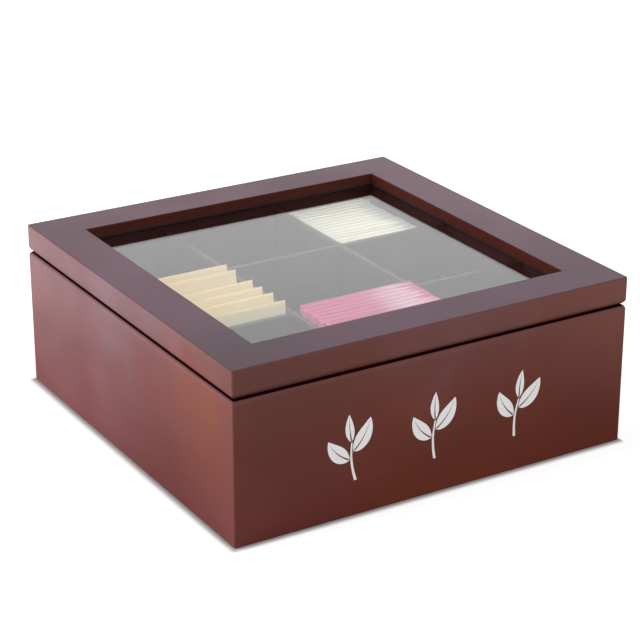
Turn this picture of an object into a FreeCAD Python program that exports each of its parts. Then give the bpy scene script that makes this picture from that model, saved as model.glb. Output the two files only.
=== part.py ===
import FreeCAD, Part
import os
import re
import Sketcher

# Tea chest with a glazed, hinged lid and a three by three grid of compartments.
# Millimetres. The origin is the middle of the footprint on the table, +X runs to the
# right along the front, +Y to the back and +Z up. The front panel faces -Y.

V = FreeCAD.Vector

# Driving sizes: name, value, meaning
SIZES = [
    ("wide", 240.0, "outer width of the case and the lid, left to right"),
    ("deep", 240.0, "outer depth of the case and the lid, front to back"),
    ("overrun", 5.0, "how far a cut runs past the wood that it goes through"),
    ("case_tall", 80.0, "table to the rim of the case"),
    ("wall", 9.0, "thickness of the four case panels"),
    ("corner_ease", 1.0, "rounding of the upright outer corners"),
    ("rim_round", 2.5, "rounding of the outer edge of the case rim"),
    ("foot_ease", 0.8, "rounding of the outer edge that meets the table"),
    ("floor_lift", 3.0, "table to the underside of the bottom panel"),
    ("floor_thick", 4.0, "thickness of the bottom panel"),
    ("groove_depth", 4.0, "how deep the case panels are grooved for the bottom panel"),
    ("floor_slack", 0.3, "room between the bottom panel's edge and the end of its groove"),
    ("divider_thick", 3.0, "thickness of the dividers"),
    ("divider_drop", 2.0, "rim of the case down to the top of the dividers"),
    ("housing_depth", 2.0, "how deep the case panels are housed for the divider ends"),
    ("divider_slack", 0.1, "room at the divider ends, in the housings and in the laps"),
    ("seam", 0.4, "gap between the case rim and the lid when it is shut"),
    ("lid_thick", 15.6, "thickness of the lid frame"),
    ("rail_wide", 25.0, "width of the lid frame seen from above"),
    ("rim_wide", 10.0, "width of the lid frame below the glass"),
    ("lip_thick", 7.0, "thickness of the wood that covers the edge of the glass"),
    ("lid_round", 3.0, "rounding of the lower outer edge of the lid"),
    ("lid_ease", 0.8, "rounding of the upper outer edge of the lid"),
    ("window_ease", 0.5, "rounding of the upper edge of the window"),
    ("glass_thick", 2.0, "thickness of the glass"),
    ("glass_slack", 0.5, "room round the edge of the glass"),
    ("bead_wide", 3.5, "width of the glazing beads"),
    ("bead_tall", 5.5, "height of the glazing beads"),
    ("bead_round", 1.5, "rounding of the lower inner edge of the beads"),
    ("brad_radius", 0.6, "radius of the headless nails in the beads"),
    ("brad_long", 9.0, "length of those nails"),
    ("nail_room", 0.05, "room round a nail or a screw in its hole"),
    ("hinge_long", 26.0, "length of each hinge along the back of the chest"),
    ("hinge_inset", 1.4, "back face to the hinge axis, and the radius of the barrel"),
    ("hinge_room", 0.3, "room round the barrel, and between its knuckles and the leaves"),
    ("knuckle_gap", 0.15, "gap between neighbouring knuckles"),
    ("leaf_wide", 6.6, "hinge axis to the free edge of a leaf"),
    ("leaf_thick", 0.8, "thickness of the leaves"),
    ("mortise_room", 0.1, "room round a leaf in its mortise"),
    ("pin_radius", 0.55, "radius of the hinge pins"),
    ("pin_room", 0.05, "running clearance of the pins in the knuckles"),
    ("screw_radius", 0.8, "radius of the screws' shanks"),
    ("screw_head", 1.5, "radius of the screws' heads"),
    ("screw_cone", 0.6, "height of the countersunk heads"),
    ("screw_long", 8.0, "length of the screws with their heads"),
    ("screw_point", 2.0, "length of the screws' points"),
    ("screw_setback", 4.0, "hinge axis to the line of the screws"),
    ("screw_spread", 15.0, "distance between the two screws of a leaf"),
    ("slot_wide", 0.4, "width of the slot in a screw head"),
    ("slot_deep", 0.3, "depth of the slot in a screw head"),
    ("pink_margin", 1.0, "width that a pink sachet leaves free on each side of its compartment"),
    ("white_margin", 9.0, "half of the width that a white sachet leaves free in its compartment"),
    ("sheet_thick", 0.6, "thickness of a sachet at its crimped edge"),
    ("bulge_thick", 3.5, "thickness of a sachet over the tea bag inside"),
    ("sachet_lift", 0.2, "room under a sachet that leans"),
    ("side_room", 0.5, "divider to the edge of the sachets in an outer compartment"),
    ("cream_proud", 6.2, "top of the dividers up to the top of an upright cream sachet"),
    ("pink_proud", 4.2, "the same for the pink sachets"),
    ("white_proud", -0.5, "the same for the white sachets, which end below the dividers"),
    ("pack_pitch", 4.4, "distance between neighbours in a pack"),
    ("pack_room", 2.6, "end of the room for a pack to the feet of its outermost sachet"),
    ("white_free", 8.0, "room left free behind the white sachets"),
    ("pack_lean", 0.8, "lean of the packed sachets in degrees"),
    ("cream_lean", 9.0, "lean of the cream sachet that leans most, in degrees"),
]

ALIASES = {name for name, value, meaning in SIZES}

# The hinges, and their places along the back as shares of the width
HINGES = ["left", "right"]
HINGE_SHARES = [-0.3, 0.3]

# Nail places along a bead, as shares of its length
BRAD_SHARES = [-0.4, 0.0, 0.4]

# The loose cream sachets, front to back: place of the top edge as a share of the depth of
# the compartment, and lean as a share of the greatest lean
CREAM_SHARES = [
    (-0.455, 0.1),
    (-0.266, 0.41),
    (-0.118, 0.55),
    (0.039, 0.68),
    (0.306, 0.86),
    (0.45, 1.0),
]

# The tea bag's bulge inside a sachet, as shares of the sachet's width and height, and the
# flat crown of the bulge as a share of the bulge
BULGE_WIDE_SHARE = 0.86
BULGE_TALL_SHARE = 0.82
CROWN_SHARE = 0.5

# Places closer together than this are the same place
SAME_PLACE = 1e-6

# Worked out from the driving sizes
CELL_X = "((wide - 2 * wall - 2 * divider_thick) / 3)"
CELL_Y = "((deep - 2 * wall - 2 * divider_thick) / 3)"
CROSS_X = f"(({CELL_X} + divider_thick) / 2)"
LONG_Y = f"(({CELL_Y} + divider_thick) / 2)"
FLOOR_TOP = "(floor_lift + floor_thick)"
DIVIDER_TOP = "(case_tall - divider_drop)"
DIVIDER_MIDDLE = f"(({FLOOR_TOP} + {DIVIDER_TOP}) / 2)"
LID_BASE = "(case_tall + seam)"
LID_TOP = f"({LID_BASE} + lid_thick)"
GLASS_TOP = f"({LID_TOP} - lip_thick)"
GLASS_BASE = f"({GLASS_TOP} - glass_thick)"
BEAD_BASE = f"({GLASS_BASE} - bead_tall)"
BEAD_MIDDLE = f"({GLASS_BASE} - bead_tall / 2)"
HINGE_Y = "(deep / 2 - hinge_inset)"
HINGE_Z = "(case_tall + seam / 2)"
SCREW_Y = f"({HINGE_Y} - screw_setback)"
RECESS_RADIUS = "(hinge_inset + hinge_room)"
FOOT_Z = f"({FLOOR_TOP} + sachet_lift)"
NEAR_CROSS = f"({CROSS_X} + divider_thick / 2)"
NEAR_LONG = f"({LONG_Y} + divider_thick / 2)"
BEAD_X = "(wide / 2 - rim_wide - bead_wide)"
BEAD_Y = "(deep / 2 - rim_wide - bead_wide)"
CREAM_WIDE = f"({BEAD_X} - {NEAR_CROSS} - 2 * side_room)"
PINK_WIDE = f"({CELL_X} - 2 * pink_margin)"
WHITE_WIDE = f"({CELL_X} - 2 * white_margin)"

doc = FreeCAD.newDocument("tea_chest")
sheet = doc.addObject("Spreadsheet::Sheet", "Sizes")


def fill_sheet():
    for row, (name, value, meaning) in enumerate(SIZES, start=1):
        sheet.set(f"A{row}", name)
        sheet.set(f"B{row}", str(value))
        sheet.setAlias(f"B{row}", name)
        sheet.set(f"C{row}", meaning)
    doc.recompute()


def ask(formula):
    """Puts the sheet's name before each size in a formula."""
    def full_name(word):
        return f"Sizes.{word[0]}" if word[0] in ALIASES else word[0]

    return re.sub(r"[a-z_]+", full_name, formula)


def worth(formula):
    """The present value of a formula."""
    return float(sheet.evalExpression(ask(formula)))


def bind(item, **formulas):
    for name, formula in formulas.items():
        item.setExpression(name, ask(formula))
    return item


def put(item, x="0", y="0", z="0", axis=None, angle="0"):
    """Places an item by formulas, turned about one axis by an angle in degrees."""
    if axis is not None:
        item.Placement = FreeCAD.Placement(V(0, 0, 0), FreeCAD.Rotation(axis, worth(angle)))
        item.setExpression("Placement.Rotation.Angle", ask(f"({angle}) * 1deg"))
    for name, formula in (("x", x), ("y", y), ("z", z)):
        item.setExpression(f"Placement.Base.{name}", ask(formula))
    return item


# Sketches and the features made from them


def new_body(name):
    return doc.addObject("PartDesign::Body", name)


def new_sketch(body, name, plane, offset):
    """A sketch on one of the body's own origin planes, moved along the plane's normal."""
    sketch = body.newObject("Sketcher::SketchObject", f"{body.Name}_{name}")
    origin = [item for item in body.Origin.OriginFeatures if item.Role == plane][0]
    sketch.AttachmentSupport = [(origin, "")]
    sketch.MapMode = "FlatFace"
    sketch.setExpression("AttachmentOffset.Base.z", ask(offset))
    return sketch


def hold(sketch, item, point, x, y):
    """Dimensions one point of a sketch from the origin, or lays it on an axis."""
    for kind, axis, formula in (("DistanceX", -2, x), ("DistanceY", -1, y)):
        if formula == "0":
            sketch.addConstraint(Sketcher.Constraint("PointOnObject", item, point, axis))
            continue
        held = sketch.addConstraint(Sketcher.Constraint(kind, -1, 1, item, point, worth(formula)))
        sketch.setExpression(f"Constraints[{held}]", ask(formula))


def draw_loop(sketch, corners):
    """A closed outline of straight runs through corners given as pairs of formulas."""
    points = [V(worth(x), worth(y), 0) for x, y in corners]
    first = sketch.GeometryCount
    count = len(corners)
    for index in range(count):
        sketch.addGeometry(Part.LineSegment(points[index], points[(index + 1) % count]))
    for index, (x, y) in enumerate(corners):
        following = first + (index + 1) % count
        sketch.addConstraint(Sketcher.Constraint("Coincident", first + index, 2, following, 1))
        hold(sketch, first + index, 1, x, y)


def draw_rectangle(sketch, left, right, low, high):
    draw_loop(sketch, [(left, low), (right, low), (right, high), (left, high)])


def draw_circle(sketch, x, y, radius):
    circle = Part.Circle(V(worth(x), worth(y), 0), V(0, 0, 1), worth(radius))
    index = sketch.addGeometry(circle)
    hold(sketch, index, 3, x, y)
    held = sketch.addConstraint(Sketcher.Constraint("Radius", index, worth(radius)))
    sketch.setExpression(f"Constraints[{held}]", ask(radius))


def pad(body, sketch, length, both_ways=False):
    feature = body.newObject("PartDesign::Pad", f"{sketch.Name}_pad")
    feature.Profile = sketch
    feature.Midplane = both_ways
    bind(feature, Length=length)
    doc.recompute()
    return feature


def pocket(body, sketch, length, both_ways=False):
    """Cuts against the sketch's normal, or both ways, and makes sure that wood was removed."""
    before = body.Shape.Volume
    feature = body.newObject("PartDesign::Pocket", f"{sketch.Name}_pocket")
    feature.Profile = sketch
    feature.Midplane = both_ways
    bind(feature, Length=length)
    doc.recompute()
    if not feature.Shape.Volume < before:
        raise ValueError(f"{feature.Name} removed nothing")
    return feature


def same(value, formula):
    """True where a measured coordinate has the value of a formula."""
    return abs(value - worth(formula)) < SAME_PLACE


def round_edges(body, name, radius, chosen):
    """Fillets the edges of the body whose two ends pass the given test."""
    base = body.Tip
    names = []
    for index, edge in enumerate(base.Shape.Edges, start=1):
        ends = [vertex.Point for vertex in edge.Vertexes]
        if len(ends) == 2 and chosen(ends[0], ends[1]):
            names.append(f"Edge{index}")
    feature = body.newObject("PartDesign::Fillet", f"{body.Name}_{name}")
    feature.Base = (base, names)
    bind(feature, Radius=radius)
    doc.recompute()
    return feature


def upright(start, end):
    return same(start.x, str(end.x)) and same(start.y, str(end.y))


def level_at(height):
    """A test for edges that lie at one height."""
    return lambda start, end: same(start.z, height) and same(end.z, height)


# Frames of four boards with mitred corners


def block(body, half_x, half_y, base, tall):
    sketch = new_sketch(body, "outside", "XY_Plane", base)
    draw_rectangle(sketch, f"-({half_x})", half_x, f"-({half_y})", half_y)
    pad(body, sketch, tall)


def hollow(body, name, half_x, half_y, top, depth):
    sketch = new_sketch(body, name, "XY_Plane", top)
    draw_rectangle(sketch, f"-({half_x})", half_x, f"-({half_y})", half_y)
    pocket(body, sketch, depth)


def spot(side, along, out):
    """Turns a place along and out from the middle, as seen on one side, into X and Y."""
    if side == "front":
        return along, f"-({out})"
    if side == "rear":
        return along, out
    if side == "left":
        return f"-({out})", along
    return out, along


def on_width(side):
    return side in ("front", "rear")


def keep_side(body, side, half_x, half_y, band, top, tall):
    """Cuts the other three sides of a frame away, along the mitre lines of this one."""
    along, out = (half_x, half_y) if on_width(side) else (half_y, half_x)
    sketch = new_sketch(body, "mitres", "XY_Plane", top)
    far_x = f"({half_x} + 2 * overrun)"
    far_y = f"({half_y} + 2 * overrun)"
    draw_rectangle(sketch, f"-{far_x}", far_x, f"-{far_y}", far_y)
    tip = f"({along} + overrun)"
    heel = f"({along} - {band} - overrun)"
    corners = [
        (f"-{tip}", f"{out} + overrun"),
        (tip, f"{out} + overrun"),
        (heel, f"{out} - {band} - overrun"),
        (f"-{heel}", f"{out} - {band} - overrun"),
    ]
    draw_loop(sketch, [spot(side, u, v) for u, v in corners])
    pocket(body, sketch, tall)


def case_panel(side):
    body = new_body(f"{side}_panel")
    block(body, "wide / 2", "deep / 2", "0", "case_tall")
    round_edges(body, "corners", "corner_ease", upright)
    round_edges(body, "rim", "rim_round", level_at("case_tall"))
    round_edges(body, "foot", "foot_ease", level_at("0"))
    hollow(body, "inside", "wide / 2 - wall", "deep / 2 - wall", "case_tall", "case_tall")
    hollow(body, "groove", "wide / 2 - wall + groove_depth", "deep / 2 - wall + groove_depth",
           FLOOR_TOP, "floor_thick")
    keep_side(body, side, "wide / 2", "deep / 2", "wall", "case_tall", "case_tall")
    divider_housings(body, side)
    return body


def divider_housings(body, side):
    place = CROSS_X if on_width(side) else LONG_Y
    inner = "deep / 2 - wall" if on_width(side) else "wide / 2 - wall"
    sketch = new_sketch(body, "housings", "XY_Plane", "case_tall")
    for sign in ("-", ""):
        edges = []
        for along, out in (("-", "- overrun"), ("+", "+ housing_depth")):
            edges.append(spot(side, f"{sign}{place} {along} divider_thick / 2", f"{inner} {out}"))
        (x_start, y_start), (x_end, y_end) = edges
        draw_rectangle(sketch, x_start, x_end, y_start, y_end)
    pocket(body, sketch, f"case_tall - {FLOOR_TOP}")


def lid_rail(side, name):
    body = new_body(name)
    block(body, "wide / 2", "deep / 2", LID_BASE, "lid_thick")
    round_edges(body, "corners", "corner_ease", upright)
    round_edges(body, "lower_edge", "lid_round", level_at(LID_BASE))
    round_edges(body, "upper_edge", "lid_ease", level_at(LID_TOP))
    hollow(body, "window", "wide / 2 - rail_wide", "deep / 2 - rail_wide", LID_TOP, "lid_thick")
    round_edges(body, "window_edge", "window_ease", window_edge)
    hollow(body, "rebate", "wide / 2 - rim_wide", "deep / 2 - rim_wide",
           GLASS_TOP, "lid_thick - lip_thick")
    keep_side(body, side, "wide / 2", "deep / 2", "rail_wide", LID_TOP, "lid_thick")
    brad_holes(body, side)
    return body


def window_edge(start, end):
    if not level_at(LID_TOP)(start, end):
        return False
    inside = worth("wide / 2 - rail_wide") + SAME_PLACE
    return abs(start.x) < inside and abs(end.x) < inside


def glazing_bead(side):
    half_x = "(wide / 2 - rim_wide)"
    half_y = "(deep / 2 - rim_wide)"
    body = new_body(f"bead_{side}")
    block(body, half_x, half_y, BEAD_BASE, "bead_tall")
    hollow(body, "inside", f"{half_x} - bead_wide", f"{half_y} - bead_wide", GLASS_BASE, "bead_tall")
    inside = worth(f"{half_x} - bead_wide") + SAME_PLACE
    lowest = level_at(BEAD_BASE)
    round_edges(body, "lower_edge", "bead_round",
                lambda start, end: lowest(start, end) and max(abs(start.x), abs(end.x)) < inside)
    keep_side(body, side, half_x, half_y, "bead_wide", GLASS_BASE, "bead_tall")
    brad_holes(body, side)
    return body


# The nails that hold the glazing beads


def brad_inner_end(side):
    """Distance from the middle of the lid to the inner face of a bead."""
    return BEAD_Y if on_width(side) else BEAD_X


def brad_places(side):
    length = "wide" if on_width(side) else "deep"
    return [f"({share} * ({length} - 2 * rim_wide))" for share in BRAD_SHARES]


def brad_holes(body, side):
    middle = f"({brad_inner_end(side)} + brad_long / 2)"
    plane = "XZ_Plane" if on_width(side) else "YZ_Plane"
    outward = "-" if side in ("rear", "left") else ""
    sketch = new_sketch(body, "nail_holes", plane, f"{outward}{middle}")
    for place in brad_places(side):
        draw_circle(sketch, place, BEAD_MIDDLE, "brad_radius + nail_room")
    pocket(body, sketch, "brad_long + 2 * nail_room", both_ways=True)


def bead_brads():
    brads = []
    for side in ("front", "rear", "left", "right"):
        inner = brad_inner_end(side)
        start = inner if side in ("rear", "right") else f"-({inner} + brad_long)"
        for number, place in enumerate(brad_places(side)):
            name = f"brad_{side}_{number}"
            if on_width(side):
                brad = primitive("Cylinder", name, x=place, y=start, z=BEAD_MIDDLE,
                                 axis=V(-1, 0, 0), angle="90", Radius="brad_radius", Height="brad_long")
            else:
                brad = primitive("Cylinder", name, x=start, y=place, z=BEAD_MIDDLE,
                                 axis=V(0, 1, 0), angle="90", Radius="brad_radius", Height="brad_long")
            brads.append(brad)
    return group("bead_brads", brads)


# Flat boards and the glass


def bottom_panel():
    reach = "groove_depth - floor_slack - wall"
    body = new_body("bottom_panel")
    block(body, f"wide / 2 + {reach}", f"deep / 2 + {reach}", "floor_lift", "floor_thick")
    return body


def glass_pane():
    body = new_body("glass_pane")
    block(body, "wide / 2 - rim_wide - glass_slack", "deep / 2 - rim_wide - glass_slack",
          GLASS_BASE, "glass_thick")
    return body


def divider(name, plane, half, crossing, offset, notched_from_above):
    """A thin board with two half-lap slots, drawn from its side."""
    reach = f"({half} - wall + housing_depth - divider_slack)"
    slot = "(divider_thick / 2 + divider_slack)"
    notched, plain = (DIVIDER_TOP, FLOOR_TOP) if notched_from_above else (FLOOR_TOP, DIVIDER_TOP)
    corners = [(f"-{reach}", plain), (reach, plain), (reach, notched)]
    for sign in ("", "-"):
        corners.append((f"{sign}{crossing} + {slot}", notched))
        corners.append((f"{sign}{crossing} + {slot}", DIVIDER_MIDDLE))
        corners.append((f"{sign}{crossing} - {slot}", DIVIDER_MIDDLE))
        corners.append((f"{sign}{crossing} - {slot}", notched))
    corners.append((f"-{reach}", notched))
    body = new_body(name)
    sketch = new_sketch(body, "outline", plane, offset)
    draw_loop(sketch, corners)
    pad(body, sketch, "divider_thick", both_ways=True)
    return body


# Hinges


def hinge_seats(body, top, hole_top):
    """Mortises for the leaves, recesses for the barrels and pilot holes for the screws."""
    leaves = new_sketch(body, "mortises", "XY_Plane", top)
    holes = new_sketch(body, "pilot_holes", "XY_Plane", hole_top)
    reach = "(hinge_long / 2 + mortise_room)"
    for share in HINGE_SHARES:
        middle = f"({share} * wide)"
        draw_rectangle(leaves, f"{middle} - {reach}", f"{middle} + {reach}",
                       f"{HINGE_Y} - leaf_wide - mortise_room", HINGE_Y)
        for sign in ("-", "+"):
            draw_circle(holes, f"{middle} {sign} screw_spread / 2", SCREW_Y, "screw_radius + nail_room")
    pocket(body, leaves, "leaf_thick")
    pocket(body, holes, "screw_long + nail_room")
    for side, share in zip(HINGES, HINGE_SHARES):
        recess = new_sketch(body, f"{side}_recess", "YZ_Plane", f"{share} * wide + {reach}")
        draw_circle(recess, HINGE_Y, HINGE_Z, RECESS_RADIUS)
        pocket(body, recess, f"2 * {reach}")


def across(name, radius, start, length):
    """A round bar along X, from a start on the hinge axis."""
    return primitive("Cylinder", name, x=start, axis=V(0, 1, 0), angle="90",
                     Radius=radius, Height=length)


def hinge_leaf(name, knuckle_in_middle, share, axis):
    """A leaf with its knuckles. It is built under the hinge axis, and the lid's is turned over."""
    plate = primitive("Box", f"{name}_plate", x="-hinge_long / 2", y="-leaf_wide",
                      z="-seam / 2 - leaf_thick",
                      Length="hinge_long", Width="leaf_wide", Height="leaf_thick")
    barrel = across(f"{name}_barrel", "hinge_inset", "-hinge_long / 2", "hinge_long")
    tools = [across(f"{name}_bore", "pin_radius + pin_room", "-hinge_long / 2 - overrun",
                    "hinge_long + 2 * overrun")]
    if knuckle_in_middle:
        end = "(hinge_long / 6 - knuckle_gap)"
        tools.append(across(f"{name}_left_gap", RECESS_RADIUS, "-hinge_long / 2 - overrun",
                            f"hinge_long / 2 + overrun - {end}"))
        tools.append(across(f"{name}_right_gap", RECESS_RADIUS, end,
                            f"hinge_long / 2 + overrun - {end}"))
    else:
        tools.append(across(f"{name}_gap", RECESS_RADIUS, "-hinge_long / 6", "hinge_long / 3"))
    for side, sign in (("left", "-"), ("right", "")):
        place = f"{sign}screw_spread / 2"
        tools.append(primitive("Cone", f"{name}_{side}_sink", x=place, y="-screw_setback",
                               z="-seam / 2 - screw_cone", Radius1="screw_radius + nail_room",
                               Radius2="screw_head + nail_room", Height="screw_cone"))
        tools.append(primitive("Cylinder", f"{name}_{side}_hole", x=place, y="-screw_setback",
                               z="-seam / 2 - leaf_thick - overrun",
                               Radius="screw_radius + nail_room",
                               Height="leaf_thick + overrun - screw_cone / 2"))
    leaf = cut(name, fuse(f"{name}_blank", [plate, barrel]), tools)
    return put(leaf, f"{share} * wide", HINGE_Y, HINGE_Z, axis, "180" if knuckle_in_middle else "0")


def hinge_pin(name, share):
    pin = across(name, "pin_radius", "0", "hinge_long")
    return put(pin, f"{share} * wide - hinge_long / 2", HINGE_Y, HINGE_Z, V(0, 1, 0), "90")


def screw(name, x, z, angle):
    """A countersunk screw whose head lies at its own origin, turned over where it points up."""
    head = primitive("Cone", f"{name}_head", z="-screw_cone", Radius1="screw_radius",
                     Radius2="screw_head", Height="screw_cone")
    shank = primitive("Cylinder", f"{name}_shank", z="screw_point - screw_long", Radius="screw_radius",
                      Height="screw_long - screw_point - screw_cone")
    point = primitive("Cone", f"{name}_point", z="-screw_long", Radius1="0", Radius2="screw_radius",
                      Height="screw_point")
    slot = primitive("Box", f"{name}_slot", x="-screw_head", y="-slot_wide / 2", z="-slot_deep",
                     Length="2 * screw_head", Width="slot_wide", Height="2 * slot_deep")
    whole = cut(name, fuse(f"{name}_blank", [head, shank, point]), [slot])
    return put(whole, x, SCREW_Y, z, V(1, 0, 0), angle)


def hinge_screws(name, z, angle):
    screws = []
    for side, share in zip(HINGES, HINGE_SHARES):
        for end, sign in (("left", "-"), ("right", "+")):
            place = f"{share} * wide {sign} screw_spread / 2"
            screws.append(screw(f"{name}_{side}_{end}", place, z, angle))
    return group(name, screws)


# Paper sachets


def sachet_tall(proud):
    """Height of the sachets that stand proud of the dividers by this much."""
    return f"({DIVIDER_TOP} + {proud} - {FOOT_Z})"


def sachet(name, width, tall):
    """A flat paper envelope, swollen in the middle, that stands on its lower edge."""
    paper = primitive("Box", f"{name}_paper", x=f"-{width} / 2", y="-sheet_thick / 2",
                      Length=width, Width="sheet_thick", Height=tall)
    half_wide = f"{BULGE_WIDE_SHARE} * {width} / 2"
    half_tall = f"{BULGE_TALL_SHARE} * {tall} / 2"
    bulges = []
    for side, angle in (("front", "180"), ("rear", "0")):
        bulges.append(primitive(
            "Wedge", f"{name}_{side}", z=f"{tall} / 2", axis=V(0, 0, 1), angle=angle,
            Ymin="0", Xmin=f"-{half_wide}", Xmax=half_wide, Zmin=f"-{half_tall}", Zmax=half_tall,
            Ymax="bulge_thick / 2",
            X2min=f"-{CROWN_SHARE} * {half_wide}", X2max=f"{CROWN_SHARE} * {half_wide}",
            Z2min=f"-{CROWN_SHARE} * {half_tall}", Z2max=f"{CROWN_SHARE} * {half_tall}"))
    return fuse(name, [paper] + bulges)


def stand(name, master, x, foot, lean):
    """A copy of a sachet that stands on the bottom panel and leans back."""
    copy = doc.addObject("App::Link", name)
    copy.LinkedObject = master
    return put(copy, x, foot, FOOT_Z, V(-1, 0, 0), lean)


def pack(name, width, proud, x, start, direction, end):
    """As many sachets as fit from one place to the other, both measured from the middle."""
    master = sachet(f"{name}_one", width, sachet_tall(proud))
    sachets = []
    steps = int(worth(f"(abs({end} - {start}) - 2 * pack_room) / pack_pitch"))
    for number in range(steps + 1):
        foot = f"{start} {direction} (pack_room + {number} * pack_pitch)"
        sachets.append(stand(f"{name}_{number}", master, x, foot, "pack_lean"))
    return group(name, sachets)


def cream_sachets():
    """A few sachets that lean back more and more towards the rear."""
    tall = sachet_tall("cream_proud")
    master = sachet("sachets_cream_one", CREAM_WIDE, tall)
    sachets = []
    for number, (place, share) in enumerate(CREAM_SHARES):
        lean = f"{share} * cream_lean"
        foot = f"{place} * {CELL_Y} - {tall} * sin({lean} * 1deg)"
        x = f"-({NEAR_CROSS} + side_room + {CREAM_WIDE} / 2)"
        sachets.append(stand(f"sachets_cream_{number}", master, x, foot, lean))
    return group("sachets_cream", sachets)


def pink_sachets():
    """A pack from the divider behind it forward to the glazing bead above it."""
    return pack("sachets_pink", PINK_WIDE, "pink_proud", "0", f"-{NEAR_LONG}", "-", f"-{BEAD_Y}")


def white_sachets():
    """A pack from the divider in front of it back, with some room left behind it."""
    x = f"({NEAR_CROSS} + side_room + {WHITE_WIDE} / 2)"
    end = "(deep / 2 - wall - white_free)"
    return pack("sachets_white", WHITE_WIDE, "white_proud", x, NEAR_LONG, "+", end)


# Part objects and groups of them


def primitive(kind, name, x="0", y="0", z="0", axis=None, angle="0", **formulas):
    item = doc.addObject(f"Part::{kind}", name)
    bind(item, **formulas)
    return put(item, x, y, z, axis, angle)


def fuse(name, pieces):
    item = doc.addObject("Part::MultiFuse", name)
    item.Shapes = pieces
    return item


def cut(name, base, tools):
    item = doc.addObject("Part::Cut", name)
    item.Base = base
    item.Tool = tools[0] if len(tools) == 1 else fuse(f"{name}_tools", tools)
    return item


def group(name, solids):
    item = doc.addObject("Part::Compound", name)
    item.Links = solids
    return item


def build():
    fill_sheet()
    nodes = [case_panel(side) for side in ("front", "rear", "left", "right")]
    hinge_seats(doc.getObject("rear_panel"), "case_tall", "case_tall")
    nodes.append(bottom_panel())
    nodes.append(divider("divider_long_front", "XZ_Plane", "wide / 2", CROSS_X, LONG_Y, True))
    nodes.append(divider("divider_long_rear", "XZ_Plane", "wide / 2", CROSS_X, f"-{LONG_Y}", True))
    nodes.append(divider("divider_cross_left", "YZ_Plane", "deep / 2", LONG_Y, f"-{CROSS_X}", False))
    nodes.append(divider("divider_cross_right", "YZ_Plane", "deep / 2", LONG_Y, CROSS_X, False))

    nodes.append(lid_rail("front", "lid_front_rail"))
    nodes.append(lid_rail("rear", "lid_rear_rail"))
    nodes.append(lid_rail("left", "lid_left_stile"))
    nodes.append(lid_rail("right", "lid_right_stile"))
    hinge_seats(doc.getObject("lid_rear_rail"), f"{LID_BASE} + leaf_thick",
                f"{LID_BASE} + screw_long + nail_room")
    nodes.append(glass_pane())
    nodes += [glazing_bead(side) for side in ("front", "rear", "left", "right")]
    nodes.append(bead_brads())

    for side, share in zip(HINGES, HINGE_SHARES):
        nodes.append(hinge_leaf(f"hinge_{side}_case_leaf", False, share, V(0, 1, 0)))
        nodes.append(hinge_leaf(f"hinge_{side}_lid_leaf", True, share, V(0, 1, 0)))
        nodes.append(hinge_pin(f"hinge_{side}_pin", share))
    nodes.append(hinge_screws("case_hinge_screws", "case_tall", "0"))
    nodes.append(hinge_screws("lid_hinge_screws", LID_BASE, "180"))

    nodes += [cream_sachets(), pink_sachets(), white_sachets()]
    doc.recompute()
    return nodes


def check(nodes):
    """Stops before anything is written if an object failed or a shape is bad."""
    for item in doc.Objects:
        if "Invalid" in item.State or "Error" in item.State:
            raise ValueError(f"{item.Name} failed: {item.State}")
    for node in nodes:
        if node.Shape.isNull() or not node.Shape.isValid():
            raise ValueError(f"{node.Name} has no valid shape")


def write(nodes):
    os.makedirs("parts", exist_ok=True)
    for node in nodes:
        node.Label = node.Name
        node.Shape.exportStep(f"parts/{node.Name}.step")
        print(f"{node.Name}: {len(node.Shape.Solids)} solids, {node.Shape.Volume:.0f} mm3")


pieces = build()
check(pieces)
write(pieces)
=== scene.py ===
# %% [markdown]
# # A tea chest with a glass lid
# This lesson dresses a small wooden chest: stained boards, a glazed lid on brass hinges and
# nine compartments with paper tea sachets in three of them. The boards, the glass and the
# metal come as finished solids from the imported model, in metres, and they are neither moved
# nor reshaped here. What they get is a finish. Only the soft paper and the painted ornament
# are modelled in this file. Each step says what the thing is, how it could be made, and why
# this way was taken.

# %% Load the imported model
import math

import bpy
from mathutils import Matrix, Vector


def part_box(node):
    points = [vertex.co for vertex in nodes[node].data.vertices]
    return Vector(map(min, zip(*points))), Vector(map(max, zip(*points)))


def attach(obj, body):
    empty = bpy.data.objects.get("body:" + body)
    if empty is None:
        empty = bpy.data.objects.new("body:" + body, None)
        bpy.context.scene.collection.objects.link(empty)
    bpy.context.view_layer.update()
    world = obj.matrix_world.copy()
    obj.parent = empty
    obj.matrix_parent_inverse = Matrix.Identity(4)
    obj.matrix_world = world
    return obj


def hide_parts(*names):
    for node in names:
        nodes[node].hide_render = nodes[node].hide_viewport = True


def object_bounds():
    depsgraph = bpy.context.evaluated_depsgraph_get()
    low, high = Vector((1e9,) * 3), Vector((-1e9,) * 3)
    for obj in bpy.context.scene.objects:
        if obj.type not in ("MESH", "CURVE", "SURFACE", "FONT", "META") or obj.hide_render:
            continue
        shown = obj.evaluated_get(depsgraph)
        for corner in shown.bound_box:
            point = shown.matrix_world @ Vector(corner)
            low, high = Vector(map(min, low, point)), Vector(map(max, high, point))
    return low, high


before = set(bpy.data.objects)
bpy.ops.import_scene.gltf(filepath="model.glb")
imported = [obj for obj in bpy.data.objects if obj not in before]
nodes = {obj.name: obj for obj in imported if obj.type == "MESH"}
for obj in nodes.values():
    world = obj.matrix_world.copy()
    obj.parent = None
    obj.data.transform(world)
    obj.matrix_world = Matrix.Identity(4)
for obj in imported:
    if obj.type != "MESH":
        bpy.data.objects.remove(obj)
cad_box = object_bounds()
lowest, highest = cad_box
LEFT, FRONT, FOOT = lowest
RIGHT, BACK, TOP = highest
print("pieces in the model:", len(nodes))
print("size in mm:", [round(1000 * side, 1) for side in highest - lowest])

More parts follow.
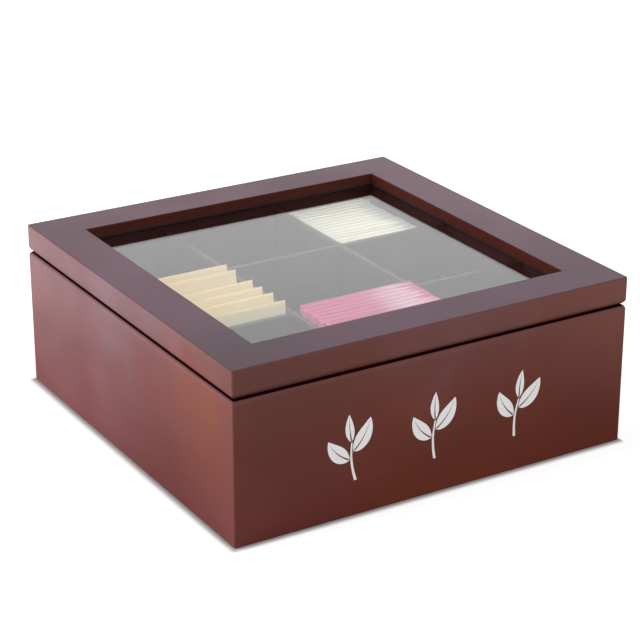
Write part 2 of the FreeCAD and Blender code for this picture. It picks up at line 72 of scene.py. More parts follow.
# %% [markdown]
# ## Helpers for node trees
# Materials and Geometry Nodes are both node trees. Placing nodes by hand in the editor is the
# usual way to learn them, but a script can build the same tree, and then every number has a
# name. One small function adds a node, sets its options and fills its inputs. An input takes
# either a plain value or another node's output, which is then linked.

# %% A function that adds a node
def add(tree, kind, inputs=None, **settings):
    made = tree.nodes.new(kind)
    for name, value in settings.items():
        setattr(made, name, value)
    for key, value in (inputs or {}).items():
        if isinstance(value, bpy.types.NodeSocket):
            tree.links.new(value, made.inputs[key])
        else:
            made.inputs[key].default_value = value
    return made


def join_up(tree, output, socket):
    tree.links.new(output, socket)


# %% Short names for sums on numbers and on vectors
def calculate(tree, operation, *values):
    return add(tree, "ShaderNodeMath", dict(enumerate(values)), operation=operation).outputs[0]


def vector_step(tree, operation, *values):
    inputs = dict(enumerate(values))
    return add(tree, "ShaderNodeVectorMath", inputs, operation=operation).outputs[0]


def vector_measure(tree, operation, *values):
    """A length or a distance, which comes out as one number."""
    inputs = dict(enumerate(values))
    return add(tree, "ShaderNodeVectorMath", inputs, operation=operation).outputs["Value"]


def parts_of(tree, vector):
    return add(tree, "ShaderNodeSeparateXYZ", {0: vector}).outputs


def sizes_of(tree, vector):
    """The three parts of a vector without their signs."""
    return parts_of(tree, vector_step(tree, "ABSOLUTE", vector))


# %% Short names for patterns and mixtures
def clouds(tree, where, scale, detail=2.0, roughness=0.5):
    inputs = {"Vector": where, "Scale": scale, "Detail": detail, "Roughness": roughness}
    return add(tree, "ShaderNodeTexNoise", inputs).outputs[0]


def stretched(tree, where, scale):
    return add(tree, "ShaderNodeMapping", {"Vector": where, "Scale": scale}).outputs[0]


def spread(tree, value, low, high, bottom=0.0, top=1.0):
    """Maps low to bottom and high to top, with a soft start and end."""
    inputs = {"Value": value, "From Min": low, "From Max": high, "To Min": bottom, "To Max": top}
    made = add(tree, "ShaderNodeMapRange", inputs, interpolation_type="SMOOTHSTEP")
    return made.outputs["Result"]


def uneven(tree, pattern, least, most):
    """A value that wanders between two bounds with a noise, which seldom leaves 0.2 to 0.8."""
    return spread(tree, pattern, 0.2, 0.8, least, most)


def blend(tree, share, first, second):
    """The first colour where share is 0 and the second where it is 1."""
    inputs = {0: share, 6: first, 7: second}
    return add(tree, "ShaderNodeMix", inputs, data_type="RGBA").outputs[2]


def mottled(tree, colour, tone, pattern, low, high, share):
    """Mixes a tone in where a pattern is high, up to a share."""
    return blend(tree, spread(tree, pattern, low, high, 0.0, share), colour, tone)


# %% Functions that start a material and fill its shader
def new_finish(name):
    """A material with one Principled shader on its output."""
    material = bpy.data.materials.new(name)
    material.use_nodes = True
    tree = material.node_tree
    tree.nodes.clear()
    shader = add(tree, "ShaderNodeBsdfPrincipled")
    add(tree, "ShaderNodeOutputMaterial", {"Surface": shader.outputs[0]})
    return material, tree, shader


def object_place(tree):
    """Coordinates in metres that stay with the piece, also when the lid turns."""
    return add(tree, "ShaderNodeTexCoord").outputs["Object"]


def hold(shader, values):
    """Sets the inputs that are the same all over a piece."""
    for name, value in values.items():
        shader.inputs[name].default_value = value


def relief(tree, shader, height, strength, depth):
    """Lets the light see a pattern as bumps of a depth in metres."""
    bump = add(tree, "ShaderNodeBump", {"Height": height, "Strength": strength, "Distance": depth})
    join_up(tree, bump.outputs[0], shader.inputs["Normal"])


# %% [markdown]
# ## Camera
# The camera stands to the left of the front, a little above the lid, far away and with a
# long lens. A long lens keeps the box's edges nearly parallel, as in a catalogue picture. It
# could be dragged into place by eye. Here it is worked out from two angles, a distance and
# the point that it looks at, so that the same picture comes back on every run.

# %% Set the camera
VIEW_AROUND, VIEW_UP = -31.106, 22.574
VIEW_DISTANCE = 1.20157
VIEW_AIM = Vector((0.018628, 0.028525, 0.040))
VIEW_LENS = 117.77


def direction(around, up):
    """The way from the chest towards a camera or lamp. Around 0 is in front, -90 is left."""
    around, up = math.radians(around), math.radians(up)
    level = math.cos(up)
    return Vector((math.sin(around) * level, -math.cos(around) * level, math.sin(up)))


def stand(item, aim, away, distance):
    """Puts a camera or lamp at a distance from a point and turns it to face that point."""
    item.location = aim + distance * away
    item.rotation_euler = (-away).to_track_quat("-Z", "Y").to_euler()
    bpy.context.scene.collection.objects.link(item)


camera = bpy.data.objects.new("camera", bpy.data.cameras.new("camera"))
camera.data.lens = VIEW_LENS
stand(camera, VIEW_AIM, direction(VIEW_AROUND, VIEW_UP), VIEW_DISTANCE)
bpy.context.scene.camera = camera
bpy.context.scene.view_settings.view_transform = "Standard"
print("camera at", [round(part, 3) for part in camera.location])

# %% [markdown]
# ## Surroundings
# Lacquered wood and glass show what is around them, so the surroundings are part of their
# look. A white tent would be the studio's way. The world does the same here: rays from the
# camera, mirrored rays and rays through glass see plain white, while the light that the world
# sheds on the chest is dimmer, so that the lamp can shape it. The Light Path node tells the
# kinds of ray apart. Mirrored rays that rise more steeply see a slightly greyer white, as from
# a ceiling, so the lid's top is a little darker near the camera than far away from it.

# %% White world with its own level of light
WHITE_LIGHT = (1.0, 1.0, 1.0, 1.0)
WORLD_LIGHT = 0.22
HORIZON_TOP, HALF_UP = 0.345, 0.400
MIRRORED_UPPER = 0.87


def seen_directly(tree):
    """1 for rays from the camera, mirrored rays and rays that came through glass."""
    ray = add(tree, "ShaderNodeLightPath").outputs
    seen = calculate(tree, "MAXIMUM", ray["Is Camera Ray"], ray["Is Glossy Ray"])
    return calculate(tree, "MAXIMUM", seen, ray["Is Transmission Ray"])


def mirrored_world(tree):
    """What mirrored rays see: white at the horizon and a little greyer above it."""
    way = add(tree, "ShaderNodeTexCoord").outputs["Generated"]
    greyer = spread(tree, parts_of(tree, way)["Z"], HORIZON_TOP, HALF_UP, 0.0, 1.0 - MIRRORED_UPPER)
    ray = add(tree, "ShaderNodeLightPath").outputs
    greyer = calculate(tree, "MULTIPLY", greyer, ray["Is Glossy Ray"])
    return calculate(tree, "SUBTRACT", 1.0, greyer)


world = bpy.data.worlds.new("white_studio")
world.use_nodes = True
tree = world.node_tree
tree.nodes.clear()
level = spread(tree, seen_directly(tree), 0.0, 1.0, WORLD_LIGHT, 1.0)
level = calculate(tree, "MULTIPLY", level, mirrored_world(tree))
sky = add(tree, "ShaderNodeBackground", {"Color": WHITE_LIGHT, "Strength": level})
add(tree, "ShaderNodeOutputWorld", {"Surface": sky.outputs[0]})
bpy.context.scene.world = world
print("world light:", WORLD_LIGHT)

# %% [markdown]
# ## Floor
# The chest stands on a plain white sweep. A diffuse floor alone would turn grey around the
# box, where less light arrives. So the floor also glows for the rays that look at it. The
# glow starts at nothing at the foot of the box and is nearly full a few millimetres away, so
# open floor is white and the thin dark band at the foot is a painted contact shadow, laid
# over the floor's own. A second, weaker glow takes some centimetres and paints the soft tail
# of that shadow. In the lacquer the floor's mirror image is meant to fade towards the foot of
# the box, so mirrored rays see a third glow that takes 20 to 30 centimetres to grow, a
# painted shade in the reflection.

# %% How far a point of the floor is from the chest
def distance_from_box(tree, where, reach, reach_behind):
    """0 at the footprint of the chest and 1 at a reach before and left, or behind and right."""
    before = vector_step(tree, "DIVIDE", vector_step(tree, "SUBTRACT", lowest, where), reach)
    behind = vector_step(tree, "SUBTRACT", where, highest)
    behind = vector_step(tree, "DIVIDE", behind, reach_behind)
    beyond = vector_step(tree, "MAXIMUM", before, behind)
    beyond = vector_step(tree, "MAXIMUM", beyond, (0.0, 0.0, 0.0))
    return vector_measure(tree, "LENGTH", beyond)


def glow_past_painted_shadow(tree, where, glow, reach, reach_behind):
    """A glow that starts at nothing at the foot of the chest and is full at a reach, so it paints a
    shadow at the foot.
    """
    return spread(tree, distance_from_box(tree, where, reach, reach_behind), 0.0, 1.0, 0.0, glow)


# %% Lay the floor
FLOOR_REACH = 6.0
FLOOR_COLOUR, FLOOR_PALER = (0.42, 0.42, 0.42, 1.0), (0.45, 0.45, 0.45, 1.0)
FLOOR_CLOUDS = 3.0
# Reaches of the painted contact shadow, of its soft tail and of the painted shade in mirrors.
CONTACT_GLOW, CONTACT_REACH = 0.74, Vector((0.0050, 0.0052, 1.0))
CONTACT_BEHIND = Vector((0.0025, 0.0025, 1.0))
OPEN_GLOW, OPEN_REACH = 0.25, Vector((0.080, 0.080, 1.0))
MIRROR_GLOW, MIRROR_REACH = 1.05, Vector((0.205, 0.310, 1.0))


def floor_glow(tree, where):
    """How bright the floor looks to the camera, through glass and in mirrors, with a painted shadow
    near the chest.
    """
    contact = glow_past_painted_shadow(tree, where, CONTACT_GLOW, CONTACT_REACH, CONTACT_BEHIND)
    open_floor = glow_past_painted_shadow(tree, where, OPEN_GLOW, OPEN_REACH, OPEN_REACH)
    mirror = glow_past_painted_shadow(tree, where, MIRROR_GLOW, MIRROR_REACH, MIRROR_REACH)
    ray = add(tree, "ShaderNodeLightPath").outputs
    through = calculate(tree, "MAXIMUM", ray["Is Camera Ray"], ray["Is Transmission Ray"])
    through = calculate(tree, "MULTIPLY", through, calculate(tree, "ADD", contact, open_floor))
    mirrored = calculate(tree, "MULTIPLY", ray["Is Glossy Ray"], mirror)
    return calculate(tree, "MAXIMUM", through, mirrored)


def white_sweep():
    sweep = bpy.data.materials.new("white_sweep")
    sweep.use_nodes = True
    tree = sweep.node_tree
    tree.nodes.clear()
    where = object_place(tree)
    paper = blend(tree, clouds(tree, where, FLOOR_CLOUDS), FLOOR_COLOUR, FLOOR_PALER)
    matt = add(tree, "ShaderNodeBsdfDiffuse", {"Color": paper})
    shining = {"Color": WHITE_LIGHT, "Strength": floor_glow(tree, where)}
    glow = add(tree, "ShaderNodeEmission", shining)
    both = add(tree, "ShaderNodeAddShader", {0: matt.outputs[0], 1: glow.outputs[0]})
    add(tree, "ShaderNodeOutputMaterial", {"Surface": both.outputs[0]})
    return sweep


floor_mesh = bpy.data.meshes.new("floor")
signs = ((-1, -1), (1, -1), (1, 1), (-1, 1))
corners = [(x * FLOOR_REACH, y * FLOOR_REACH, FOOT) for x, y in signs]
floor_mesh.from_pydata(corners, [], [(0, 1, 2, 3)])
floor_mesh.materials.append(white_sweep())
floor = bpy.data.objects.new("floor", floor_mesh)
bpy.context.scene.collection.objects.link(floor)
print("floor at", round(FOOT, 4))

# %% [markdown]
# ## Lamps
# One large soft lamp on the left makes the left side the bright one and leaves the front in
# half shade. A second, weaker one in front lifts the sachets behind the glass. Large lamps
# give soft shadows, which a small box on a white sweep needs. Their power is set so that a
# white sheet facing the main lamp comes out about white. In the lacquer and the pane each
# lamp would show as a bright square. A photographer would flag it off, and here mirrored rays
# and rays through glass simply don't see it.

# %% Hang the lamps
def hang_lamp(name, around, up, distance, size, power):
    """An area lamp that faces the middle of the chest."""
    lamp = bpy.data.objects.new(name, bpy.data.lights.new(name, "AREA"))
    lamp.data.size = size
    lamp.data.energy = power
    stand(lamp, (lowest + highest) / 2, direction(around, up), distance)
    lamp.visible_camera = False
    lamp.visible_glossy = False
    lamp.visible_transmission = False


hang_lamp("main_lamp", around=-108, up=18, distance=1.3, size=0.9, power=18.0)
hang_lamp("front_lamp", around=5, up=38, distance=1.4, size=0.7, power=10.0)

# %% [markdown]
# ## Stained wood
# The boards are a pale wood under a dark red stain and a satin lacquer, which hides nearly
# all grain. An image of wood would repeat and blur up close, so the finish is built from
# noise. Stretched noise, long along a board and short across it, gives the fibres. Large
# round clouds give the uneven stain. Because the pattern reads object coordinates in metres,
# it has its real scale on each board, and the grain direction only swaps two numbers.

# %% Colours of the stained wood
STAIN_RED = (0.128, 0.019, 0.006, 1.0)
# Painted light: a lighter red for the left and right sides.
LIT_SIDE_RED = (0.215, 0.044, 0.040, 1.0)
# Warm tone of the wood in places, also a painted glow near the front foot and at the left side's
# upper near corner.
AMBER_TONE_AND_GLOW = (0.350, 0.070, 0.014, 1.0)
# Painted sheen: a rosy mauve for the lacquer's reflection on the sides and the lid's front.
ROSE_PAINTED_SHEEN = (0.220, 0.115, 0.140, 1.0)
# Dark tone of the uneven stain and grain, also used as painted shade towards the foot of the left
# side.
DARK_STAIN_AND_SHADE = (0.070, 0.012, 0.010, 1.0)
# Painted shading for the upper rounded edges, a muted tone between the side and the top.
EDGE_PAINTED_SHADING = (0.120, 0.045, 0.050, 1.0)
# Painted shade on faces that look up: a darker purplish tone.
TOP_PAINTED_SHADE = (0.086, 0.024, 0.058, 1.0)
# Painted shade near the front left corner of the lid's top, and painted reflection farther back.
DEEP_TOP_SHADE = (0.030, 0.012, 0.030, 1.0)
PALE_TOP_REFLECTION = (0.150, 0.050, 0.090, 1.0)
# Painted shade for the reveal inside the window.
REVEAL_PAINTED_SHADE = (0.057, 0.008, 0.004, 1.0)
# Painted shadow for the outer edge of the seam between lid and case.
SEAM_PAINTED_SHADOW = (0.030, 0.001, 0.001, 1.0)
# Painted shade for the rim where the lid meets the case.
RIM_PAINTED_SHADE = (0.050, 0.014, 0.012, 1.0)
# Painted shade for the case's inner faces below the glass.
INSIDE_PAINTED_SHADE = (0.016, 0.009, 0.009, 1.0)

# %% Fibres and clouds
FIBRES_ALONG, FIBRES_ACROSS = 18.0, 900.0
FIGURE_ALONG, FIGURE_ACROSS = 4.0, 55.0
CLOUD_SCALE = 13.0


def along_grain(tree, where, grain, along, across):
    """Stretches a pattern along the axis that the grain follows."""
    return stretched(tree, where, tuple(along if axis == grain else across for axis in "XYZ"))


def fibres(tree, where, grain):
    """Fine streaks and the broad figure of a board, each from 0 to 1."""
    streaks = along_grain(tree, where, grain, FIBRES_ALONG, FIBRES_ACROSS)
    figure = along_grain(tree, where, grain, FIGURE_ALONG, FIGURE_ACROSS)
    return clouds(tree, streaks, 1.0, detail=3.0, roughness=0.6), clouds(tree, figure, 1.0)


# %% [markdown]
# The same board looks different on its upper face, its rounded edges and inside the window,
# and the colour paints these in: shade on the upper face and in the window, and a muted
# shading on the rounded edges.
# Painting these masks by hand would break as soon as a size changed. The normal in object
# space already knows which way a face points, and the object coordinates know whether it
# lies inside the window, so both masks follow the wood by themselves, also when the lid turns.

# %% Masks that follow the way a face points
EDGE_SHARE = 0.35


def upper_face(tree, facing):
    """0 on steep faces and 1 on nearly level ones that look up."""
    return spread(tree, parts_of(tree, facing)["Z"], 0.35, 0.90)


def side_face(tree, facing):
    """1 on the left and right sides and 0 on the front and back."""
    return sizes_of(tree, facing)["X"]


def rounded_edge(tree, facing):
    """More than 0 on upper rounded edges, where the normal lies between two axes."""
    size = sizes_of(tree, facing)
    most = calculate(tree, "MAXIMUM", size["X"], size["Y"])
    most = calculate(tree, "MAXIMUM", most, size["Z"])
    upwards = spread(tree, parts_of(tree, facing)["Z"], 0.0, 0.3)
    rounded = calculate(tree, "MULTIPLY", spread(tree, most, 0.995, 0.85), upwards)
    return calculate(tree, "MULTIPLY", rounded, EDGE_SHARE)


# %% [markdown]
# Where the lid meets the case, both have a dark line, a painted shadow for the gap between
# them. Only the outer two or three millimetres are nearly black, and there the wood is also
# metallic, which with a black colour mirrors nothing. The rim further in shows when the lid is
# open, and it is dark wood without a shine, a painted shade of the gap as well. The inner faces
# of the case are as dark as the dividers, a painted shade inside the box. All of these are
# found by their place.

# %% Masks that follow a place in the chest
SOFT_LINE, SOFT_SQUARE = 0.0003, 0.0002
WINDOW_HALF = 0.0003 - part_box("lid_left_stile")[1].x
CASE_INSIDE = 0.0002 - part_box("left_panel")[1].x
GLASS_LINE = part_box("glass_pane")[1].z + 0.0009
SEAM_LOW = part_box("front_panel")[1].z - 0.0004
SEAM_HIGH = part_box("lid_front_rail")[0].z + 0.0006
SEAM_DEEP = 0.0025


def inside_square(tree, where, half):
    """1 within a square round the middle of the chest, half its side given."""
    size = sizes_of(tree, where)
    most = calculate(tree, "MAXIMUM", size["X"], size["Y"])
    return spread(tree, most, half + SOFT_SQUARE, half)


def inside_case(tree, where):
    below_glass = spread(tree, parts_of(tree, where)["Z"], GLASS_LINE + SOFT_LINE, GLASS_LINE)
    return calculate(tree, "MULTIPLY", inside_square(tree, where, CASE_INSIDE), below_glass)


def rim_and_seam(tree, where):
    """1 where case and lid meet, and 1 on the outer part of that alone."""
    height = parts_of(tree, where)["Z"]
    above = spread(tree, height, SEAM_LOW - SOFT_LINE, SEAM_LOW)
    under = spread(tree, height, SEAM_HIGH + SOFT_LINE, SEAM_HIGH)
    rim = calculate(tree, "MULTIPLY", above, under)
    outer = calculate(tree, "SUBTRACT", 1.0, inside_square(tree, where, RIGHT - SEAM_DEEP))
    return rim, calculate(tree, "MULTIPLY", rim, outer)


print("half of the window in mm:", round(1000 * WINDOW_HALF, 1))

# %% [markdown]
# The colour also has patches, and most of them are painted light. The rosy ones on the sides
# and the lid's front paint the sheen of the lacquer. The dark ones paint shade towards the foot
# of the left side and make two places near the front left corner darker. The amber ones make
# the wood warmer in places, and near the front foot and the upper near corner of the left side
# they paint a warm glow. The lighter red of the sides is also put on the low left of the front.
# On the lid's top, pale patches paint its reflection and a deep one paints shade near the front
# left corner. Each such patch is a soft ball with a place, a reach and a tone, and noise frays
# its rim, so it never looks round.

# %% Patches of stain and painted light: place and reach in metres, tone, strength
SIDE_PATCHES = [
    ((LEFT, -0.098, 0.066), 0.058, AMBER_TONE_AND_GLOW, 1.00),
    ((LEFT, 0.070, 0.130), 0.160, ROSE_PAINTED_SHEEN, 0.80),
    ((LEFT, -0.040, FOOT), 0.100, DARK_STAIN_AND_SHADE, 0.45),
    ((LEFT, -0.105, 0.022), 0.080, DARK_STAIN_AND_SHADE, 0.40),
    ((LEFT, -0.020, 0.108), 0.070, ROSE_PAINTED_SHEEN, 1.00),
    ((LEFT, -0.100, 0.110), 0.050, ROSE_PAINTED_SHEEN, 1.00),
    ((LEFT, 0.070, 0.015), 0.090, ROSE_PAINTED_SHEEN, 0.35),
    ((0.020, FRONT, 0.106), 0.070, ROSE_PAINTED_SHEEN, 0.35),
    ((-0.100, FRONT, 0.082), 0.080, DARK_STAIN_AND_SHADE, 0.45),
    ((-0.100, FRONT, 0.010), 0.070, LIT_SIDE_RED, 0.45),
    ((0.010, FRONT, FOOT), 0.080, AMBER_TONE_AND_GLOW, 0.12),
    ((0.118, FRONT, 0.085), 0.100, AMBER_TONE_AND_GLOW, 0.12),
    ((RIGHT, 0.100, 0.020), 0.090, AMBER_TONE_AND_GLOW, 0.45),
    ((-0.060, BACK, 0.060), 0.080, AMBER_TONE_AND_GLOW, 0.35),
]
TOP_PATCHES = [
    ((-0.112, -0.112, TOP), 0.075, DEEP_TOP_SHADE, 0.90),
    ((0.125, 0.040, TOP), 0.150, PALE_TOP_REFLECTION, 0.90),
    ((-0.030, 0.125, TOP), 0.140, PALE_TOP_REFLECTION, 0.80),
    ((-0.118, 0.010, TOP), 0.120, PALE_TOP_REFLECTION, 0.50),
]
FRAY = 0.025


def stain_and_light_patches(tree, where, colour, stain, patches):
    fray = spread(tree, stain, 0.25, 0.75, -FRAY, FRAY)
    for place, reach, tone, strength in patches:
        away = calculate(tree, "ADD", vector_measure(tree, "DISTANCE", where, place), fray)
        colour = mottled(tree, colour, tone, away, reach, 0.0, strength)
    return colour


print("patches of stain:", len(SIDE_PATCHES) + len(TOP_PATCHES))


# %% The colour of a stained board
CLOUD_SHARE, FIGURE_SHARE, FIBRE_SHARE = 0.25, 0.20, 0.10


def board_colour(tree, where, facing, grain_patterns):
    stain, fine, broad = grain_patterns
    # Painted light: the left and right sides are made lighter than the front and back.
    colour = blend(tree, side_face(tree, facing), STAIN_RED, LIT_SIDE_RED)
    colour = stain_and_light_patches(tree, where, colour, stain, SIDE_PATCHES)
    # Level faces that look up get a painted shade, with patches of painted shade and reflection.
    upper = stain_and_light_patches(tree, where, TOP_PAINTED_SHADE, stain, TOP_PATCHES)
    colour = blend(tree, upper_face(tree, facing), colour, upper)
    colour = mottled(tree, colour, DARK_STAIN_AND_SHADE, stain, 0.35, 0.75, CLOUD_SHARE)
    colour = mottled(tree, colour, DARK_STAIN_AND_SHADE, broad, 0.35, 0.75, FIGURE_SHARE)
    colour = mottled(tree, colour, DARK_STAIN_AND_SHADE, fine, 0.40, 0.75, FIBRE_SHARE)
    # Painted shading on the upper rounded edges.
    return blend(tree, rounded_edge(tree, facing), colour, EDGE_PAINTED_SHADING)


# %% The stained finish
LACQUER_BEND = 1.45
SATIN_LEAST, SATIN_MOST = 0.29, 0.36
UNPOLISHED = 0.75
FIGURE_RELIEF, FIGURE_DEPTH = 0.05, 0.0005


def stained_wood(name, grain):
    material, tree, shader = new_finish(name)
    place = add(tree, "ShaderNodeTexCoord").outputs
    where, facing = place["Object"], place["Normal"]
    fine, broad = fibres(tree, where, grain)
    stain = clouds(tree, where, CLOUD_SCALE, detail=2.5)
    window = inside_square(tree, where, WINDOW_HALF)
    rim, seam = rim_and_seam(tree, where)
    colour = board_colour(tree, where, facing, (stain, fine, broad))
    # Painted shade: the window's reveal is darker.
    colour = blend(tree, window, colour, REVEAL_PAINTED_SHADE)
    # Painted shade: the case's inner faces are darker.
    colour = blend(tree, inside_case(tree, where), colour, INSIDE_PAINTED_SHADE)
    # Painted shade: the rim where the lid meets the case is darker.
    colour = blend(tree, rim, colour, RIM_PAINTED_SHADE)
    # Painted shadow: the outer edge of the seam is nearly black.
    join_up(tree, blend(tree, seam, colour, SEAM_PAINTED_SHADOW), shader.inputs["Base Color"])
    matt = calculate(tree, "MULTIPLY", calculate(tree, "MAXIMUM", rim, window), UNPOLISHED)
    rough = calculate(tree, "MAXIMUM", uneven(tree, stain, SATIN_LEAST, SATIN_MOST), matt)
    join_up(tree, rough, shader.inputs["Roughness"])
    # Painted shadow: black metallic wood in the seam mirrors nothing.
    join_up(tree, seam, shader.inputs["Metallic"])
    hold(shader, {"IOR": LACQUER_BEND})
    relief(tree, shader, broad, FIGURE_RELIEF, FIGURE_DEPTH)
    return material


wood_along_x = stained_wood("stained_wood_along_x", "X")
wood_along_y = stained_wood("stained_wood_along_y", "Y")
print("stained wood:", wood_along_x.name, wood_along_y.name)

# %% [markdown]
# ## Wood inside the chest
# The dividers, the bottom and the glazing beads are thinner stock with a flat dark stain and
# no lacquer. It could share the outer finish, but a matt surface behind the glass is what
# makes the compartments read as deep and quiet. Fibres stay, the clouds go. The upper faces
# of the dividers get a painted highlight, a greyer tone where the light falls on them, and
# they are the pale lines that a look through the glass finds first.

# %% The inner finish
INNER_WOOD = (0.024, 0.014, 0.013, 1.0)
INNER_DARK = (0.014, 0.008, 0.008, 1.0)
# Painted highlight for the dividers' upper faces.
DIVIDER_TOP_HIGHLIGHT = (0.060, 0.056, 0.057, 1.0)
INNER_SMOOTH, INNER_ROUGH = 0.45, 0.60
FIBRE_RELIEF, FIBRE_DEPTH = 0.15, 0.0003
DIVIDER_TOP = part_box("divider_long_front")[1].z
HIGHLIGHT_LOW, HIGHLIGHT_HIGH = DIVIDER_TOP - 0.008, DIVIDER_TOP - 0.001
HIGHLIGHT_HALF = 0.082


def lit_divider_top(tree, where, facing):
    """1 on the upper faces of the dividers, where a highlight is painted, but not near the walls.
    """
    high = spread(tree, parts_of(tree, where)["Z"], HIGHLIGHT_LOW, HIGHLIGHT_HIGH)
    high = calculate(tree, "MULTIPLY", high, inside_square(tree, where, HIGHLIGHT_HALF))
    return calculate(tree, "MULTIPLY", high, upper_face(tree, facing))


def inner_wood(name, grain):
    material, tree, shader = new_finish(name)
    place = add(tree, "ShaderNodeTexCoord").outputs
    where, facing = place["Object"], place["Normal"]
    fine, broad = fibres(tree, where, grain)
    colour = blend(tree, spread(tree, broad, 0.3, 0.8), INNER_WOOD, INNER_DARK)
    colour = mottled(tree, colour, INNER_DARK, fine, 0.45, 0.8, 0.5)
    # Painted highlight on the dividers' upper faces.
    colour = blend(tree, lit_divider_top(tree, where, facing), colour, DIVIDER_TOP_HIGHLIGHT)
    join_up(tree, colour, shader.inputs["Base Color"])
    join_up(tree, uneven(tree, fine, INNER_SMOOTH, INNER_ROUGH), shader.inputs["Roughness"])
    relief(tree, shader, fine, FIBRE_RELIEF, FIBRE_DEPTH)
    return material


inner_along_x = inner_wood("inner_wood_along_x", "X")
inner_along_y = inner_wood("inner_wood_along_y", "Y")
print("inner wood:", inner_along_x.name, inner_along_y.name)

# %% [markdown]
# ## Glass
# The pane mirrors the white surroundings, and that veil of grey over the dark compartments is
# what tells the eye that there is glass. The Principled shader with full transmission bends
# and mirrors light as glass does. The bend is set above the 1.5 of window glass, because the
# veil in a bright studio is stronger than one plain white world gives. The shader's weak
# point is the lamps: their light would have to find a way through the bent surfaces. So the
# rays that ask whether a lamp is in sight get a Transparent shader instead, which lets them
# through. It is set above one, because it also stands in for the light that bounces between
# pane and frame before it reaches the paper.

# %% The glass finish
GLASS_BEND = 1.785
GLASS_PASS = (1.33, 1.33, 1.33, 1.0)
GLASS_TINT, GLASS_CLEARER = (0.97, 0.985, 0.98, 1.0), (0.99, 0.995, 0.99, 1.0)
GLASS_CLOUDS = 14.0


def window_glass():
    material, tree, shader = new_finish("window_glass")
    tint = blend(tree, clouds(tree, object_place(tree), GLASS_CLOUDS), GLASS_TINT, GLASS_CLEARER)
    join_up(tree, tint, shader.inputs["Base Color"])
    hold(shader, {"Roughness": 0.0, "IOR": GLASS_BEND, "Transmission Weight": 1.0})
    clear = add(tree, "ShaderNodeBsdfTransparent", {"Color": GLASS_PASS})
    ray = add(tree, "ShaderNodeLightPath").outputs
    choice = {0: ray["Is Shadow Ray"], 1: shader.outputs[0], 2: clear.outputs[0]}
    either = add(tree, "ShaderNodeMixShader", choice)
    output = [item for item in tree.nodes if item.type == "OUTPUT_MATERIAL"][0]
    join_up(tree, either.outputs[0], output.inputs["Surface"])
    return material


glass = window_glass()
print("glass bends light by", GLASS_BEND)

# %% [markdown]
# ## Metal
# The hinges and screws are small brass parts, and the nails in the beads are steel. Polished
# metal is mostly reflection, so its base colour is the colour of the reflection. Brushing
# shows as fine noise in the roughness and in the bump, and handling darkens it in soft spots.

# %% The metal finish
BRUSHING = (60.0, 3000.0, 3000.0)
BRUSHED_MORE = 0.15
BRUSH_RELIEF, BRUSH_DEPTH = 0.1, 0.0001
SPOT_SCALE = 400.0


def metal(name, colour, dull_colour, roughness):
    material, tree, shader = new_finish(name)
    where = object_place(tree)
    spots = clouds(tree, where, SPOT_SCALE, detail=3.0)
    brushing = clouds(tree, stretched(tree, where, BRUSHING), 1.0)
    colour = mottled(tree, colour, dull_colour, spots, 0.45, 0.75, 1.0)
    join_up(tree, colour, shader.inputs["Base Color"])
    rough = uneven(tree, brushing, roughness, roughness + BRUSHED_MORE)
    join_up(tree, rough, shader.inputs["Roughness"])
    hold(shader, {"Metallic": 1.0})
    relief(tree, shader, brushing, BRUSH_RELIEF, BRUSH_DEPTH)
    return material


brass = metal("hinge_brass", (0.80, 0.56, 0.22, 1.0), (0.50, 0.33, 0.13, 1.0), 0.30)
screw_brass = metal("screw_brass", (0.85, 0.62, 0.28, 1.0), (0.55, 0.38, 0.16, 1.0), 0.28)
steel = metal("nail_steel", (0.55, 0.55, 0.56, 1.0), (0.30, 0.29, 0.28, 1.0), 0.35)
print("metals:", brass.name, screw_brass.name, steel.name)

# %% [markdown]
# ## Dressing the solids
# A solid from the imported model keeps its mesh. Only the material in its slot is swapped. The
# grain follows each board's length: front and rear boards run along X, side boards along Y.

# %% Hand out the finishes
FINISHES = {
    wood_along_x: ["front_panel", "rear_panel", "lid_front_rail", "lid_rear_rail"],
    wood_along_y: ["left_panel", "right_panel", "lid_left_stile", "lid_right_stile"],
    inner_along_x: ["bottom_panel", "divider_long_front", "divider_long_rear",
                    "bead_front", "bead_rear"],
    inner_along_y: ["divider_cross_left", "divider_cross_right", "bead_left", "bead_right"],
    glass: ["glass_pane"],
    brass: [name for name in nodes if name.startswith("hinge_")],
    screw_brass: ["case_hinge_screws", "lid_hinge_screws"],
    steel: ["bead_brads"],
}
for finish, names in FINISHES.items():
    for name in names:
        for slot in nodes[name].material_slots:
            slot.material = finish
    print(finish.name, "on", len(names), "pieces")

# %% [markdown]
# ## One paper sachet
# Each tea bag is sealed in a flat paper envelope. The paper is pinched at the seams and swells
# over the bag, and the top and bottom are cut with a fine zigzag. It could be sculpted or blown
# up by a cloth simulation, but dozens of them stand close together and only their upper
# edges show. A grid of points with a formula for its thickness is exact, light and repeatable.

# %% Sizes of a sachet
SEAM_WIDE = 0.0015
CRIMP_TALL = 0.007
SIDE_RUN, SWELL_RUN = 0.006, 0.012
TOOTH_WIDE = 0.0022
TOOTH_DEEP = 0.0003
ROWS_CRIMP, ROWS_BODY = 4, 18


def soft_step(value):
    value = min(max(value, 0.0), 1.0)
    return value * value * (3 - 2 * value)


def sachet_rows(tall):
    """Heights of the grid's rows, close together in the two crimped bands."""
    low = [CRIMP_TALL * row / ROWS_CRIMP for row in range(ROWS_CRIMP)]
    body = tall - 2 * CRIMP_TALL
    middle = [CRIMP_TALL + body * row / ROWS_BODY for row in range(ROWS_BODY + 1)]
    return low + middle + [tall - height for height in reversed(low)]


